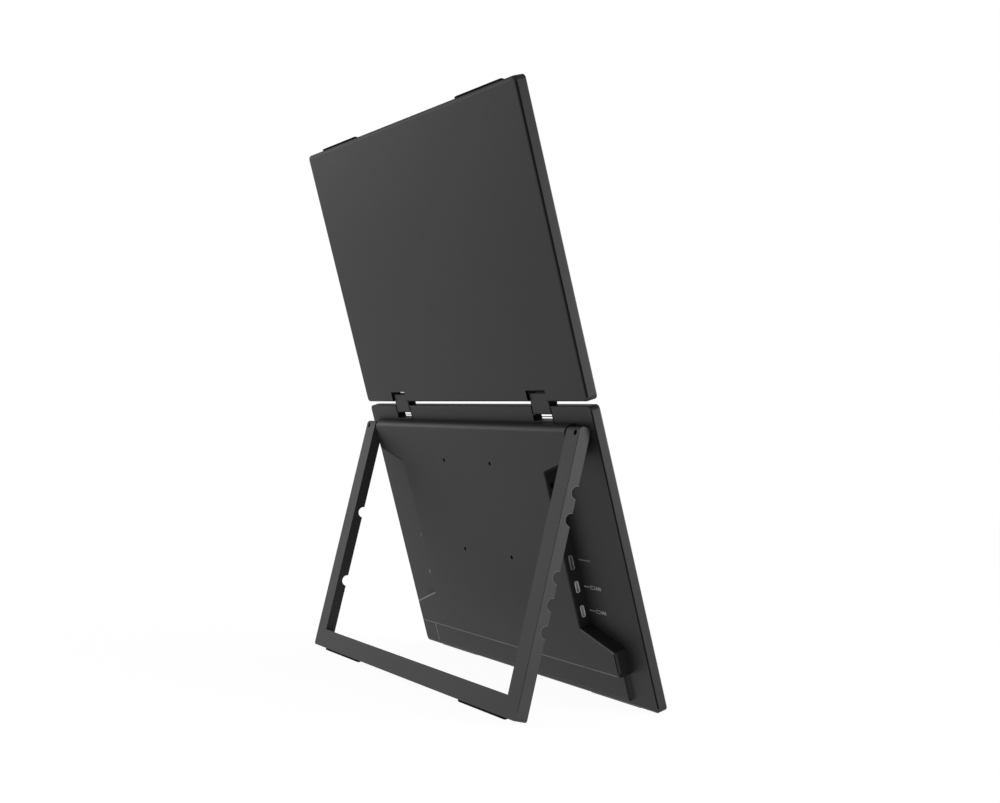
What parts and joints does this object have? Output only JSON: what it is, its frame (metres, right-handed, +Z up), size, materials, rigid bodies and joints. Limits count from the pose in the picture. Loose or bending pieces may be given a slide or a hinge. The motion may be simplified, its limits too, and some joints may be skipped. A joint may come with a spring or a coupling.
{
  "type": "stacked dual-screen portable monitor",
  "caption": "Slim display panels stacked edge to edge on link hinges; the upper one folds down as a lid, and a frame stand swings out behind the lower one.",
  "frame": {"origin": "on the table, under the middle of the open object", "axes": "+Z up, the screens face -Y, +X is to the right of someone who looks at the screens"},
  "size_m": [0.355, 0.1407, 0.4308],
  "materials": {
    "cover_plastic": "fine matte, charcoal",
    "stand_plastic": "fine matte, charcoal",
    "bezel_plastic": "matte, near black",
    "display_glass": "anti-glare, dark",
    "optical_film": "white, translucent",
    "light_guide": "clear, polished",
    "tray_metal": "plain rolled",
    "board": "circuit board, green mask",
    "pin_steel": "ground",
    "bracket_steel": "plain",
    "block_metal": "matte, charcoal",
    "insert_brass": "plain",
    "port_metal": "plated",
    "button_plastic": "matte, dark grey",
    "lens": "clear lens",
    "component_plastic": "black",
    "rubber": "matte black"
  },
  "bodies": {
    "lower_panel": {"audio_jack": "component_plastic", "board_screws": "pin_steel", "button_switches": "component_plastic", "data_port_a": "port_metal", "data_port_b": "port_metal", "data_port_c": "port_metal", "left_panel_foot": "rubber", "left_speaker": "component_plastic", "left_stand_bracket": "bracket_steel", "left_stand_pin": "pin_steel", "lower_back_cover": "cover_plastic", "lower_bezel": "bezel_plastic", "lower_film_stack": "optical_film", "lower_friction_washers": "pin_steel", "lower_hinge_screws": "pin_steel", "lower_lcd_cell": "display_glass", "lower_left_hinge_bracket": "bracket_steel", "lower_left_hinge_pin": "pin_steel", "lower_light_guide": "light_guide", "lower_panel_board": "board", "lower_rear_tray": "tray_metal", "lower_right_hinge_bracket": "bracket_steel", "lower_right_hinge_pin": "pin_steel", "main_board": "board", "mount_inserts": "insert_brass", "right_panel_foot": "rubber", "right_speaker": "component_plastic", "right_stand_bracket": "bracket_steel", "right_stand_pin": "pin_steel", "status_light": "lens", "video_port": "port_metal"},
    "hinge_links": {"left_link_block": "block_metal", "right_link_block": "block_metal"},
    "upper_panel": {"upper_back_cover": "cover_plastic", "upper_bezel": "bezel_plastic", "upper_film_stack": "optical_film", "upper_friction_washers": "pin_steel", "upper_hinge_screws": "pin_steel", "upper_lcd_cell": "display_glass", "upper_left_hinge_bracket": "bracket_steel", "upper_left_hinge_pin": "pin_steel", "upper_light_guide": "light_guide", "upper_panel_board": "board", "upper_rear_tray": "tray_metal", "upper_right_hinge_bracket": "bracket_steel", "upper_right_hinge_pin": "pin_steel", "left_bumper": "rubber", "right_bumper": "rubber"},
    "stand": {"stand_frame": "stand_plastic", "stand_screws": "pin_steel", "left_stand_bush": "pin_steel", "right_stand_bush": "pin_steel", "left_stand_foot": "rubber", "right_stand_foot": "rubber"},
    "power_button": {"power_button": "button_plastic"},
    "menu_rocker": {"menu_rocker": "button_plastic"}
  },
  "joints": [
    {"name": "link_fold", "type": "hinge", "parent": "lower_panel", "child": "hinge_links", "pos_m": [0, -0.00208, 0.21019], "axis": [1, 0, 0], "range_deg": [0, 90]},
    {"name": "lid_fold", "type": "hinge", "parent": "hinge_links", "child": "upper_panel", "pos_m": [0, 0.00104, 0.22021], "axis": [1, 0, 0], "range_deg": [0, 90]},
    {"name": "stand_fold", "type": "hinge", "parent": "lower_panel", "child": "stand", "pos_m": [0, 0.00359, 0.19224], "axis": [1, 0, 0], "range_deg": [-29.8, 60]},
    {"name": "power_press", "type": "slide", "parent": "lower_panel", "child": "power_button", "axis": [-1, 0, 0], "range_m": [0, 0.0005], "stiffness_N_per_m": 1500},
    {"name": "menu_tilt", "type": "hinge", "parent": "lower_panel", "child": "menu_rocker", "pos_m": [0.1133, -0.02063, 0.12152], "axis": [0, 0.9548, -0.2973], "range_deg": [-3, 3], "stiffness_Nm_per_rad": 0.05}
  ]
}
